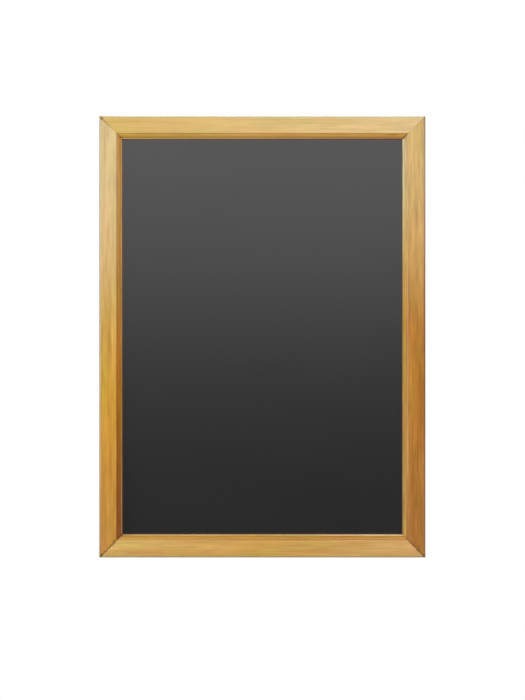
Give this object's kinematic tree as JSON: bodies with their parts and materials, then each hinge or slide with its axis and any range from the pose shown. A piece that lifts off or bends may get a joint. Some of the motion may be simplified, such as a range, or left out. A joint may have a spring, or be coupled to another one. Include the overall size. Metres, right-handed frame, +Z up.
{
  "type": "wall chalkboard",
  "caption": "Portrait wall chalkboard: a satin black panel in a mitred, clear-lacquered softwood frame with a beaded inner edge, hung on swinging D-rings.",
  "frame": {"origin": "on the wall's surface, midway between the two wall hooks, at the height where they bear in the rings", "axes": "+Z up, +Y into the wall (the written face looks along -Y), +X to the right as seen from the front"},
  "size_m": [0.45, 0.023, 0.609],
  "materials": {
    "pine_lacquer": "satin",
    "chalk_lacquer": "satin",
    "zinc_steel": "satin",
    "nail_steel": "satin",
    "point_steel": "satin",
    "bumper_rubber": "matte"
  },
  "bodies": {
    "board": {"top_rail": "pine_lacquer", "bottom_rail": "pine_lacquer", "left_stile": "pine_lacquer", "right_stile": "pine_lacquer", "chalk_panel": "chalk_lacquer", "corner_nail_bottom_left_outer": "nail_steel", "corner_nail_bottom_left_inner": "nail_steel", "corner_nail_bottom_right_outer": "nail_steel", "corner_nail_bottom_right_inner": "nail_steel", "corner_nail_top_right_outer": "nail_steel", "corner_nail_top_right_inner": "nail_steel", "corner_nail_top_left_outer": "nail_steel", "corner_nail_top_left_inner": "nail_steel", "panel_point_bottom_1": "point_steel", "panel_point_bottom_2": "point_steel", "panel_point_right_1": "point_steel", "panel_point_right_2": "point_steel", "panel_point_right_3": "point_steel", "panel_point_top_1": "point_steel", "panel_point_top_2": "point_steel", "panel_point_left_1": "point_steel", "panel_point_left_2": "point_steel", "panel_point_left_3": "point_steel", "hanger_strap_left": "zinc_steel", "hanger_strap_right": "zinc_steel", "hanger_screw_left_upper": "zinc_steel", "hanger_screw_left_lower": "zinc_steel", "hanger_screw_right_upper": "zinc_steel", "hanger_screw_right_lower": "zinc_steel", "wall_bumper_top_left": "bumper_rubber", "wall_bumper_bottom_left": "bumper_rubber", "wall_bumper_top_right": "bumper_rubber", "wall_bumper_bottom_right": "bumper_rubber"},
    "ring_left": {"hanger_ring_left": "zinc_steel"},
    "ring_right": {"hanger_ring_right": "zinc_steel"}
  },
  "joints": [
    {"name": "ring_swing_left", "type": "hinge", "parent": "board", "child": "ring_left", "pos_m": [-0.213, -0.003, -0.01], "axis": [-1, 0, 0], "range_deg": [-4, 175]},
    {"name": "ring_swing_right", "type": "hinge", "parent": "board", "child": "ring_right", "pos_m": [0.213, -0.003, -0.01], "axis": [-1, 0, 0], "range_deg": [-4, 175]}
  ]
}
